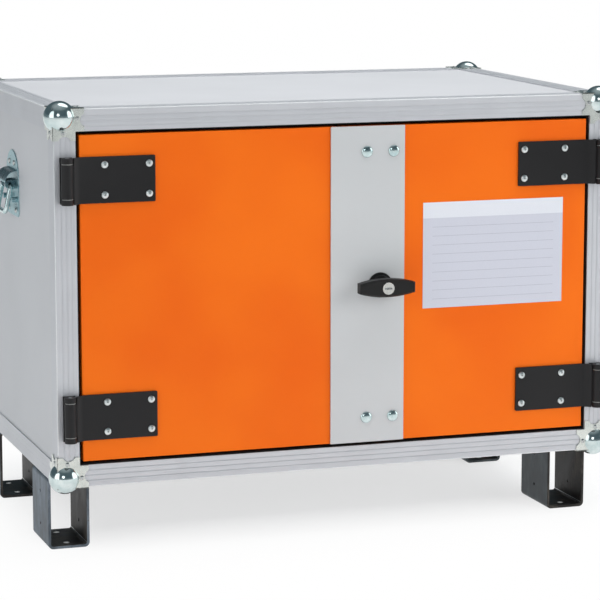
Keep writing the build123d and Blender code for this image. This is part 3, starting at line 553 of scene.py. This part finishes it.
BALL_RADIUS = 21.5
BALL_INSET = 11.5     # from each of the three faces of the case
BALL_SHEET = 1.2
ARM = 42.0
ARM_WIDTH = 30.0
CORNER_SHEET = 1.5
SCALLOP = 9.0         # radius of the bite in the end of each arm
SCALLOP_BITE = 5.5    # and its depth


def corner_shape():
    """One ball corner in its own octant: pressed sphere and three scalloped angle plates."""
    ball = bmesh.new()
    bmesh.ops.create_uvsphere(ball, u_segments=64, v_segments=40, radius=BALL_RADIUS * MM)
    bmesh.ops.translate(ball, verts=ball.verts, vec=[BALL_INSET * MM] * 3)
    for axis in range(3):
        normal = Vector([1.0 if place == axis else 0.0 for place in range(3)])
        geometry = ball.verts[:] + ball.edges[:] + ball.faces[:]
        bmesh.ops.bisect_plane(ball, geom=geometry, dist=1e-7, plane_co=(0, 0, 0), plane_no=normal)
    inside = [face for face in ball.faces if min(face.calc_center_median()) > 0]
    bmesh.ops.delete(ball, geom=inside, context="FACES")
    bmesh.ops.solidify(ball, geom=ball.faces[:], thickness=BALL_SHEET * MM)

    plate = bmesh.new()
    half = ARM_WIDTH / 2
    depth = ARM - SCALLOP_BITE + SCALLOP
    reach = math.acos((depth - ARM) / SCALLOP)
    arc = [
        (depth - SCALLOP * math.cos(angle), half + SCALLOP * math.sin(angle))
        for angle in [reach - step * reach / 8 for step in range(17)]
    ]
    low = -CORNER_SHEET
    outline = [(ARM, ARM_WIDTH)] + arc + [(ARM, low), (low, low), (low, ARM)]
    outline += [(across, along) for along, across in reversed(arc)]
    outline += [(ARM_WIDTH, ARM), (ARM_WIDTH, ARM_WIDTH)]
    corners = [plate.verts.new((x * MM, y * MM, low * MM)) for x, y in outline]
    sheet = plate.faces.new(corners)
    bmesh.ops.extrude_face_region(plate, geom=[sheet])
    plate.verts.ensure_lookup_table()
    raised = plate.verts[len(corners):]
    bmesh.ops.translate(plate, verts=raised, vec=(0, 0, CORNER_SHEET * MM))
    bmesh.ops.recalc_face_normals(plate, faces=plate.faces)
    soften(plate, 0.35)
    for face in plate.faces:
        face.material_index = 1
    turn = [Matrix.Rotation(math.radians(angle), 4, Vector((1, 1, 1))) for angle in (0, 120, 240)]
    join_into(ball, plate, turn)
    plate.free()
    return ball


def corner_places():
    """Placing matrices for a corner piece at the eight corners of the case."""
    places = []
    for x, side in ((case_left, 1), (case_right, -1)):
        for y, back in ((case_front, 1), (case_rear, -1)):
            for z, up in ((case_bottom, 1), (case_top, -1)):
                places.append(Matrix.Translation((x, y, z)) @ Matrix.Diagonal((side, back, up, 1)))
    return places


def ball_corners():
    """The eight corner pressings, as one piece."""
    fitting = corner_shape()
    whole = bmesh.new()
    join_into(whole, fitting, corner_places())
    fitting.free()
    piece_from(whole, "ball_corner_pressings", [zinc, zinc_plate], "ball_corners", angle=30)


def rivet_shape(radius, height):
    """Domed rivet head with a soft rim and a small dimple."""
    outline = [(0.0, height - 0.25), (0.7, height - 0.12), (1.1, height)]
    outline += [
        (1.1 + (radius - 1.1) * math.sin(angle), height * math.cos(angle) ** 0.8)
        for angle in [math.radians(15 * step) for step in range(1, 6)]
    ]
    outline += [(radius, 0.0), (0.0, 0.0)]
    return lathe(outline, 24)


RIVET_HEADS = {"corner_rivets": (3.2, 1.5), "plate_rivets": (4.0, 2.0)}   # radius and height


def rivets():
    """A domed head on each rivet of the corners and of the side plates, facing away from the case."""
    case_middle = Vector((0, (case_front + case_rear) / 2, (case_bottom + case_top) / 2))
    for node, (radius, height) in RIVET_HEADS.items():
        head = rivet_shape(radius, height)
        whole = bmesh.new()
        places = []
        for low, high in islands(node):
            middle, size = (low + high) / 2, high - low
            axis = min(range(3), key=lambda place: size[place])
            outward = Vector((0, 0, 0))
            outward[axis] = math.copysign(1, middle[axis] - case_middle[axis])
            base = middle.copy()
            base[axis] -= outward[axis] * size[axis] / 2
            places.append(Matrix.Translation(base) @ outward.to_track_quat("Z", "Y").to_matrix().to_4x4())
        join_into(whole, head, places)
        head.free()
        piece_from(whole, f"{node}_domed", rivet_steel, node)


# ---------------------------------------------------------------- doors
def doors():
    """Finishes of the two leaves, the strip between them and the hinges."""
    for side in ("left", "right"):
        dress(f"{side}_door_skin", orange, edge_mm=0.3)
        dress(f"{side}_door_core", core, edge_mm=0.3)
        dress(f"{side}_hinge_leaves", hinge_black, edge_mm=0.45)
    dress("centre_strip", strip_grey, edge_mm=0.5)
    dress("hinge_bases", hinge_black, edge_mm=0.3)
    dress("hinge_pins", plated, edge_mm=0.3)
    dress("hinge_washers", washer_nylon)
    dress("rod_guides", plated, edge_mm=0.3)


SCREW_HEAD = 5.0      # radius
SCREW_HEIGHT = 2.6
CROSS_LENGTH = 3.0
CROSS_WIDTH = 0.9
CROSS_TURN = 22       # degrees


def screw_shape():
    """Pan head with a cross recess."""
    outline = [(0.0, SCREW_HEIGHT)]
    outline += [
        (SCREW_HEAD * math.sin(angle), SCREW_HEIGHT * math.cos(angle) ** 0.75)
        for angle in [math.radians(12 * step) for step in range(1, 7)]
    ]
    outline += [(SCREW_HEAD, 0.35), (SCREW_HEAD, 0.0), (0.0, 0.0)]
    return lathe(outline, 28)


def cross_shape():
    """The cross recess of a screw, as a thin dark inlay that sits on the head: painted shade, as no recess is
    cut.
    """
    cross = bmesh.new()
    half, width, top = CROSS_LENGTH / 2 * MM, CROSS_WIDTH / 2 * MM, (SCREW_HEIGHT + 0.03) * MM
    bar = box_shape((-half, -width, 0), (half, width, top))
    turns = [Matrix.Rotation(math.radians(CROSS_TURN + quarter), 4, "Z") for quarter in (0, 90)]
    join_into(cross, bar, turns)
    bar.free()
    return cross


def hinge_screws():
    """Pan heads on the hinge leaves of both doors, with painted shade for their cross recesses."""
    head, cross = screw_shape(), cross_shape()
    for side in ("left", "right"):
        node = f"{side}_hinge_screws"
        places = [
            facing_front((low.x + high.x) / 2, leaf_face, (low.z + high.z) / 2) for low, high in islands(node)
        ]
        whole = bmesh.new()
        join_into(whole, head, places)
        piece_from(whole, f"{side}_hinge_pan_heads", zinc_screw, node)
        recess = bmesh.new()
        join_into(recess, cross, places)
        marks = piece_from(recess, f"{side}_hinge_screw_recesses", recess_painted_shade, body=f"{side}_door")
    head.free()
    cross.free()


MUSHROOM_HEAD = 8.25  # radius
MUSHROOM_HEIGHT = 3.9
SHANK = 3.0           # radius
SHANK_LENGTH = 34.8


def strip_bolts():
    """The strip's carriage bolts: mushroom head, plain shank and hexagon nut."""
    outline = [(0.0, MUSHROOM_HEIGHT)]
    outline += [
        (MUSHROOM_HEAD * math.sin(angle), MUSHROOM_HEIGHT * math.cos(angle) ** 0.9)
        for angle in [math.radians(9 * step) for step in range(1, 10)]
    ]
    outline += [(MUSHROOM_HEAD, 0.25), (MUSHROOM_HEAD - 0.3, 0.0), (0.0, 0.0)]
    head = lathe(outline, 40)
    shank = lathe([(0.0, 0.0), (SHANK, 0.0), (SHANK, 0.6 - SHANK_LENGTH), (SHANK - 0.5, -SHANK_LENGTH),
                   (0.0, -SHANK_LENGTH)], 20)
    nut_boxes = [pair for pair in islands("strip_bolts") if pair[0].y > door_face]
    places = [
        facing_front((low.x + high.x) / 2, strip_face, (low.z + high.z) / 2) for low, high in nut_boxes
    ]
    whole = bmesh.new()
    join_into(whole, head, places)
    join_into(whole, shank, places)
    for low, high in nut_boxes:
        nut = bmesh.new()
        across = (high.x - low.x) / 2
        bmesh.ops.create_cone(nut, cap_ends=True, segments=6, radius1=across, radius2=across,
                              depth=high.y - low.y)
        soften(nut, 0.5)
        middle = (low + high) / 2
        join_into(whole, nut, [facing_front(*middle)])
        nut.free()
    head.free()
    shank.free()
    piece_from(whole, "strip_carriage_bolts", zinc_wire, "strip_bolts")


# ---------------------------------------------------------------- lock
ROSE_RADIUS = 17.5
ROSE_HEIGHT = 6.0
ROSE_STEPS = [(0.0, 0.0), (0.0, 1.6), (0.5, 2.4), (1.6, 2.8), (3.0, 2.9), (3.6, 3.3), (4.0, 5.0),
              (4.6, 5.7), (5.6, ROSE_HEIGHT)]   # in from the rim, and height
NECK_RADIUS = 9.0


def rose():
    """Moulded collar with a step and a rolled lip."""
    bore = NECK_RADIUS + 0.4
    outline = [(bore, 0.0)] + [(ROSE_RADIUS - inward, height) for inward, height in ROSE_STEPS]
    outline.append((bore, ROSE_HEIGHT))
    collar = lathe(outline, 64, ring=True)
    place = facing_front(lock_axis.x, strip_face, lock_axis.z)
    bmesh.ops.transform(collar, matrix=place, verts=collar.verts)
    piece_from(collar, "handle_collar", nylon, "handle_rose")


KEYWAY_HALF = [(-5.0, -1.15), (-1.6, -0.6), (1.6, -0.6), (5.0, -1.15)]
KEYWAY_SUNK = 0.4
KEYWAY_PROUD = 0.06


def keyway():
    """The mouth of the key slot, wider at its two ends, as a thin dark inlay in the cylinder: painted shade
    for the slot.
    """
    mouth = bmesh.new()
    outline = KEYWAY_HALF + [(-x, -z) for x, z in KEYWAY_HALF]
    sunk = lock_low.y + KEYWAY_SUNK * MM
    rim = [mouth.verts.new((lock_axis.x + x * MM, sunk, lock_axis.z + z * MM)) for x, z in outline]
    grown = bmesh.ops.extrude_face_region(mouth, geom=[mouth.faces.new(rim)])["geom"]
    raised = [item for item in grown if isinstance(item, bmesh.types.BMVert)]
    bmesh.ops.translate(mouth, verts=raised, vec=(0, -(KEYWAY_SUNK + KEYWAY_PROUD) * MM, 0))
    bmesh.ops.recalc_face_normals(mouth, faces=mouth.faces)
    piece = piece_from(mouth, "key_slot_mouth", recess_painted_shade, body=body_of("lock_cylinder"))


def lock():
    """The lever handle, its collar and key cylinder, and the rods behind the strip."""
    dress("handle_grip", nylon, edge_mm=0.8)
    rose()
    keyway()
    dress("handle_spindle", plated, edge_mm=0.3)
    dress("lock_cam", plated, edge_mm=0.3)
    dress("upper_rod", plated, edge_mm=0.4)
    dress("lower_rod", plated, edge_mm=0.4)
    dress("lock_cylinder", nickel, edge_mm=0.35)


# ---------------------------------------------------------------- side handles
BAIL_HALF = 27.5      # half its width
BAIL_LENGTH = 38.0
BAIL_BEND = 8.0
BAIL_WIRE = 3.5       # radius
BAIL_LEAN = 12.0      # degrees off the plate


def bail(side):
    """Round wire loop that hangs from its straps and leans off the plate."""
    joint = next(entry for entry in record["behaviour"]["joints"] if entry["name"] == f"{side}_bail_swing")
    pivot = Vector(joint["pos_m"])
    lean = math.radians(BAIL_LEAN)
    across = Vector((0, 1, 0))
    down = Vector((math.copysign(1, pivot.x) * math.sin(lean), 0, -math.cos(lean)))
    turning = across.cross(down)

    def spot(along, drop):
        return pivot + (across * along + down * drop) * MM

    half, upper, lower = BAIL_HALF - BAIL_BEND, BAIL_BEND, BAIL_LENGTH - BAIL_BEND
    bends = [spot(half, upper), spot(half, lower), spot(-half, lower), spot(-half, upper)]
    start = Matrix((down, turning, across)).transposed().to_4x4()
    start.translation = spot(half, 0)
    loop = bmesh.new()
    bmesh.ops.create_circle(loop, segments=24, radius=BAIL_WIRE * MM, matrix=start)
    ring = loop.edges[:]
    for centre, following in zip(bends, bends[1:] + bends[:1]):
        turned = bmesh.ops.spin(loop, geom=ring, cent=centre, axis=turning, angle=math.tau / 4, steps=6)
        ring = [item for item in turned["geom_last"] if isinstance(item, bmesh.types.BMEdge)]
        grown = bmesh.ops.extrude_edge_only(loop, edges=ring)["geom"]
        moved = {item for item in grown if isinstance(item, bmesh.types.BMVert)}
        bmesh.ops.translate(loop, verts=list(moved), vec=following - centre)
        ring = [item for item in grown
                if isinstance(item, bmesh.types.BMEdge) and moved.issuperset(item.verts)]
    bmesh.ops.remove_doubles(loop, verts=loop.verts, dist=0.005 * MM)
    bmesh.ops.recalc_face_normals(loop, faces=loop.faces)
    piece_from(loop, f"{side}_bail_wire", zinc_wire, f"{side}_bail")


PLATE_SHEET = 2.2      # a little past the plate's thickness
PRESSED_BELOW = 4.0    # how far below its middle the plate's pressed part starts


def handle_plate(side):
    """Plate in teal zinc whose pressed hood and straps take a darker zinc: painted shade."""
    node = f"{side}_handle_plate"
    low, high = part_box(node)
    wall, tip = (high.x, low.x) if side == "left" else (low.x, high.x)
    shape = merged(node)
    soften(shape, 0.25)
    for face in shape.faces:
        centre = face.calc_center_median()
        proud = abs(centre.x - wall) > PLATE_SHEET * MM and abs(centre.x - tip) > 0.3 * MM
        # Faces standing off the plate above the start of its pressed part take the darker zinc: painted
        # shade.
        if proud and centre.z > (low.z + high.z) / 2 - PRESSED_BELOW * MM:
            face.material_index = 1
    piece_from(shape, f"{node}_finished", [teal_zinc, hood_painted_shade_zinc], node)


def side_handles():
    """The lifting handle on each side wall."""
    for side in ("left", "right"):
        handle_plate(side)
        bail(side)


# ---------------------------------------------------------------- card on the door
CARD_LEFT, CARD_RIGHT = 121.0, 331.0
CARD_LOW, CARD_HIGH = 318.0, 466.0
CARD_HEADER = 22.0
CARD_THICKNESS = 0.35
RULES = 9
RULE_INSET = 14.0     # from the sides of the card
RULE_HALF = 0.3       # half the height of a line
PRINT = 0.05          # how far the print stands off the card


def card():
    """Bare two-tone card: a header band, a body, and plain ruled lines."""
    back, face = door_face, door_face - CARD_THICKNESS * MM
    body = box_shape((CARD_LEFT * MM, face, CARD_LOW * MM), (CARD_RIGHT * MM, back, CARD_HIGH * MM))
    soften(body, 0.1)
    piece = piece_from(body, "door_card", card_body, body="right_door")
    band = box_shape((CARD_LEFT * MM, face - PRINT * MM, (CARD_HIGH - CARD_HEADER) * MM),
                     (CARD_RIGHT * MM, back, CARD_HIGH * MM))
    header = piece_from(band, "door_card_header", card_header, body="right_door")
    lines = bmesh.new()
    pitch = (CARD_HIGH - CARD_HEADER - CARD_LOW) / (RULES + 1)
    for step in range(1, RULES + 1):
        level = CARD_LOW + step * pitch
        rule = box_shape(((CARD_LEFT + RULE_INSET) * MM, face - PRINT * MM, (level - RULE_HALF) * MM),
                         ((CARD_RIGHT - RULE_INSET) * MM, back, (level + RULE_HALF) * MM))
        join_into(lines, rule, [Matrix.Identity(4)])
        rule.free()
    rules = piece_from(lines, "door_card_rules", card_rule, body="right_door")


# ---------------------------------------------------------------- floor, light, camera
FLOOR_SIZE = 80.0
SHADE_MIDDLE = (0.05, 0.11, 0.0)   # the shaded patch under the cabinet, in metres
SHADE_HALF = (0.34, 0.19, 0.0)
SHADE_WHITE, NEAR_WHITE = 0.64, 0.94   # how far the floor is plain white there, and just past it
SHADE_FADE, REST_FADE = 0.14, 0.40     # metres from the patch to that, and to fully white
MIRRORED_WHITE = 0.66                  # the white that metal mirrors, less far out on the sheet
MIRRORED_TO = (7.0, 12.0)


def floor():
    """Seamless white studio floor that fades to plain white away from the cabinet."""
    sheet = bmesh.new()
    bmesh.ops.create_grid(sheet, x_segments=1, y_segments=1, size=FLOOR_SIZE / 2)
    mesh = bpy.data.meshes.new("floor")
    sheet.to_mesh(mesh)
    sheet.free()
    ground = bpy.data.objects.new("floor", mesh)
    bpy.context.scene.collection.objects.link(ground)
    material, tree, shader, place = new_material("studio_floor")
    give(shader, {"Base Color": linear("FAFAFA"), "Roughness": 0.8, "Specular IOR Level": 0.2})
    away = add(tree, "ShaderNodeVectorMath", {0: place, 1: SHADE_MIDDLE}, operation="SUBTRACT")
    away = add(tree, "ShaderNodeVectorMath", {0: away.outputs["Vector"]}, operation="ABSOLUTE")
    away = add(tree, "ShaderNodeVectorMath", {0: away.outputs["Vector"], 1: SHADE_HALF},
               operation="SUBTRACT")
    away = add(tree, "ShaderNodeVectorMath", {0: away.outputs["Vector"], 1: (0, 0, 0)},
               operation="MAXIMUM")
    away = add(tree, "ShaderNodeVectorMath", {0: away.outputs["Vector"]}, operation="LENGTH")
    near = add(tree, "ShaderNodeMapRange",
               {"Value": away.outputs["Value"], "From Min": 0.0, "From Max": SHADE_FADE,
                "To Min": SHADE_WHITE, "To Max": NEAR_WHITE})
    rest = add(tree, "ShaderNodeMapRange",
               {"Value": away.outputs["Value"], "From Min": SHADE_FADE, "From Max": REST_FADE,
                "To Min": 0.0, "To Max": 1.0 - NEAR_WHITE})
    to_eye = add(tree, "ShaderNodeMath", {0: near.outputs["Result"], 1: rest.outputs["Result"]},
                 operation="ADD")
    far = add(tree, "ShaderNodeVectorMath", {0: place}, operation="LENGTH")
    to_metal = add(tree, "ShaderNodeMapRange",
                   {"Value": far.outputs["Value"], "From Min": MIRRORED_TO[0],
                    "From Max": MIRRORED_TO[1], "To Min": MIRRORED_WHITE, "To Max": 0.0})
    rays = add(tree, "ShaderNodeLightPath")
    to_eye = add(tree, "ShaderNodeMath", {0: to_eye.outputs["Value"], 1: rays.outputs["Is Camera Ray"]},
                 operation="MULTIPLY")
    to_metal = add(tree, "ShaderNodeMath",
                   {0: to_metal.outputs["Result"], 1: rays.outputs["Is Glossy Ray"]},
                   operation="MULTIPLY")
    share = add(tree, "ShaderNodeMath", {0: to_eye.outputs["Value"], 1: to_metal.outputs["Value"]},
                operation="MAXIMUM")
    white = add(tree, "ShaderNodeEmission", {"Color": linear("FFFFFF"), "Strength": 1.0})
    mixed = add(tree, "ShaderNodeMixShader",
                {0: share.outputs["Value"], 1: shader.outputs["BSDF"], 2: white.outputs["Emission"]})
    give(tree.nodes["Material Output"], {"Surface": mixed.outputs["Shader"]})
    mesh.materials.append(material)


# Soft light panels of the studio: direction, reach along the three axes, and brightness
PANELS = {
    "left": ((-0.92, -0.30, 0.22), (0.60, 0.34, 0.58), 1.5),
    "right": ((0.93, -0.34, 0.16), (0.60, 0.36, 0.50), 1.9),
    "overhead": ((0.35, 0.24, 0.90), (0.46, 0.34, 0.40), 1.7),
    "front": ((-0.35, -0.87, 0.33), (0.17, 0.17, 0.17), 3.0),
}
PANEL_CORE = 0.72             # the share of a panel's reach that is at full brightness


def world():
    """Studio room: dim walls with four soft light panels, and plain white where the camera looks."""
    sky = bpy.data.worlds.new("studio")
    bpy.context.scene.world = sky
    sky.use_nodes = True
    tree = sky.node_tree
    tree.nodes.clear()
    direction = add(tree, "ShaderNodeTexCoord").outputs["Generated"]
    height = add(tree, "ShaderNodeSeparateXYZ", {"Vector": direction}).outputs["Z"]
    walls = add(tree, "ShaderNodeValToRGB", {"Fac": height},
                [(0.0, "8C979C"), (0.25, "56666D"), (0.70, "5C6A70"), (1.0, "B4BABD")])
    lit = add(tree, "ShaderNodeBackground", {"Color": walls.outputs["Color"], "Strength": 0.9})
    for towards, reach, brightness in PANELS.values():
        middle = Vector(towards).normalized()
        away = add(tree, "ShaderNodeVectorMath", {0: direction, 1: middle}, operation="SUBTRACT")
        away = add(tree, "ShaderNodeVectorMath", {0: away.outputs["Vector"], 1: Vector(reach)},
                   operation="DIVIDE")
        away = add(tree, "ShaderNodeVectorMath", {0: away.outputs["Vector"]}, operation="LENGTH")
        strength = add(tree, "ShaderNodeMapRange",
                       {"Value": away.outputs["Value"], "From Min": 1.0, "From Max": PANEL_CORE,
                        "To Min": 0.0, "To Max": brightness}, interpolation_type="SMOOTHSTEP")
        panel = add(tree, "ShaderNodeBackground",
                    {"Color": linear("FFFFFF"), "Strength": strength.outputs["Result"]})
        lit = add(tree, "ShaderNodeAddShader", {0: lit.outputs[0], 1: panel.outputs["Background"]})
    rays = add(tree, "ShaderNodeLightPath")
    seen = add(tree, "ShaderNodeMath",
               {0: rays.outputs["Is Camera Ray"], 1: rays.outputs["Is Transmission Ray"]},
               operation="MAXIMUM")
    backdrop = add(tree, "ShaderNodeBackground", {"Color": linear("FFFFFF"), "Strength": 1.0})
    mixed = add(tree, "ShaderNodeMixShader",
                {0: seen.outputs["Value"], 1: lit.outputs["Shader"], 2: backdrop.outputs["Background"]})
    add(tree, "ShaderNodeOutputWorld", {"Surface": mixed.outputs["Shader"]})


def lamp(name, spot, aim, size, power):
    """A rectangular softbox at a spot, turned to its aim."""
    light = bpy.data.lights.new(name, "AREA")
    light.shape = "RECTANGLE"
    light.size, light.size_y = size
    light.energy = power
    holder = bpy.data.objects.new(name, light)
    holder.visible_glossy = False   # the room's glow makes the highlights
    bpy.context.scene.collection.objects.link(holder)
    holder.location = spot
    holder.rotation_mode = "QUATERNION"
    holder.rotation_quaternion = (Vector(aim) - Vector(spot)).to_track_quat("-Z", "Y")


def lights():
    """Overhead light and key from the right, with a weak fill from the left."""
    middle = (0, 0, 0.35)
    lamp("overhead_softbox", (0.2, -0.2, 3.0), (0, 0, 0), (2.6, 2.2), 67)
    lamp("key_softbox", (2.3, -3.0, 1.7), middle, (1.6, 2.0), 38)
    lamp("fill_softbox", (-3.2, -2.2, 1.4), middle, (1.4, 1.8), 4)


CAMERA_SPOT = (-1.183, -3.631, 0.924)
CAMERA_TURN = 18.38           # degrees to the right of straight in
CAMERA_PITCH = 9.31           # degrees below level
CAMERA_LENS = 158.6
SENSOR = 36.0


def camera():
    """A long lens from the front left, a little above the case."""
    data = bpy.data.cameras.new("camera")
    data.sensor_width = SENSOR
    data.lens = CAMERA_LENS
    data.clip_start, data.clip_end = 0.05, 200.0
    holder = bpy.data.objects.new("camera", data)
    bpy.context.scene.collection.objects.link(holder)
    holder.location = CAMERA_SPOT
    turn, pitch = math.radians(CAMERA_TURN), math.radians(CAMERA_PITCH)
    look = Vector((math.sin(turn) * math.cos(pitch), math.cos(turn) * math.cos(pitch), -math.sin(pitch)))
    holder.rotation_mode = "QUATERNION"
    holder.rotation_quaternion = look.to_track_quat("-Z", "Y")
    bpy.context.scene.camera = holder


# ---------------------------------------------------------------- the scene
case_pieces()
ball_corners()
rivets()
doors()
hinge_screws()
strip_bolts()
lock()
side_handles()
card()
floor()
world()
lights()
camera()
bpy.context.scene.view_settings.view_transform = "Standard"
